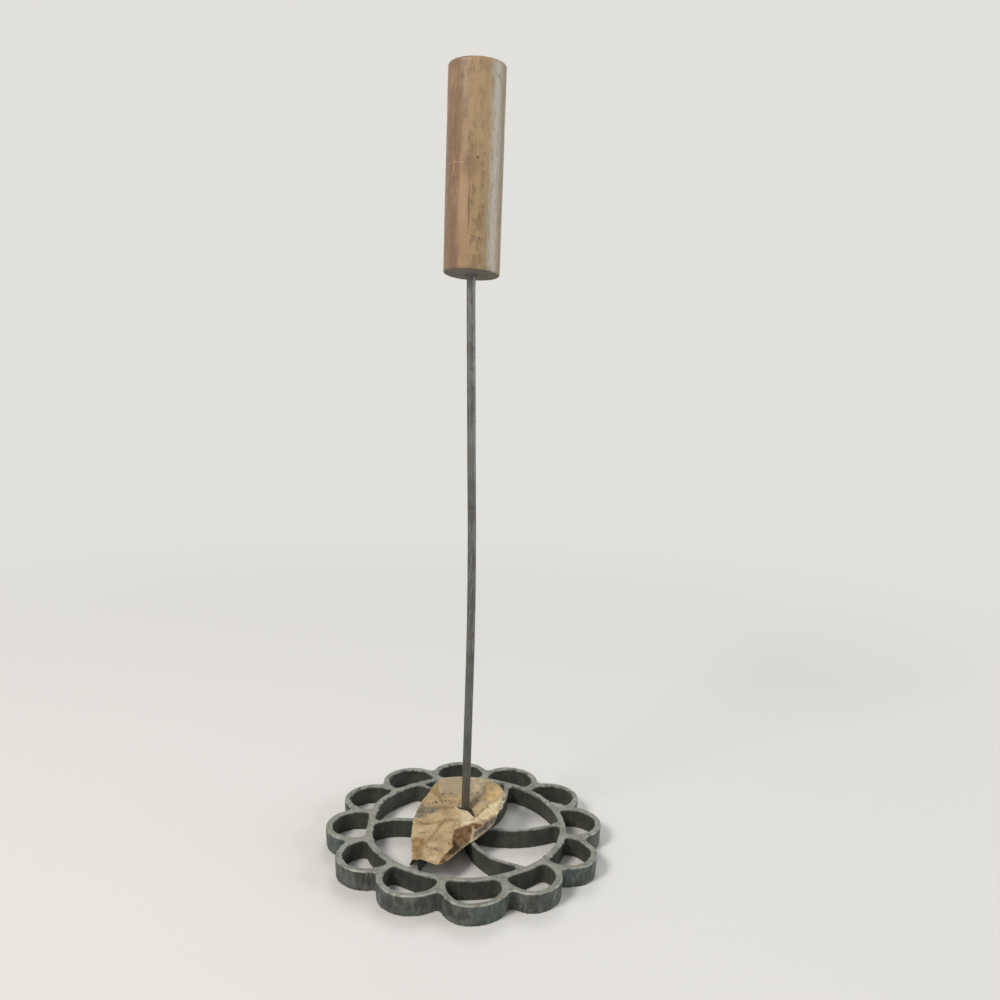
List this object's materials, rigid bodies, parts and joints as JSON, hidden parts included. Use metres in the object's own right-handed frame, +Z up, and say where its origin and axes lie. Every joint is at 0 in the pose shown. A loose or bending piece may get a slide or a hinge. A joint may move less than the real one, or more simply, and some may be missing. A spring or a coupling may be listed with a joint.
{
  "type": "rosette iron",
  "caption": "Cast flower-shaped frying mould with petal windows and curved spokes, on a long bent steel rod with a plain round wooden handle and a pierced paper label.",
  "frame": {"origin": "on the rod's lower axis at the centre of the rosette, on the surface that the casting stands on", "axes": "+Z up along the rod, +X towards one petal, +Y towards another"},
  "size_m": [0.1524, 0.1524, 0.4064],
  "materials": {
    "cast_aluminium": "dull sand-cast, worn bright on the rims",
    "steel_rod": "dull grey, stained",
    "handle_wood": "worn, partly bare",
    "label_paper": "matt, yellowed and creased"
  },
  "bodies": {
    "iron": {"rosette_casting": "cast_aluminium", "rod": "steel_rod", "handle": "handle_wood"},
    "label": {"paper_label": "label_paper"}
  },
  "joints": [
    {"name": "label_slide", "type": "slide", "parent": "iron", "child": "label", "axis": [0, 0, 1], "range_m": [0, 0.08]}
  ]
}
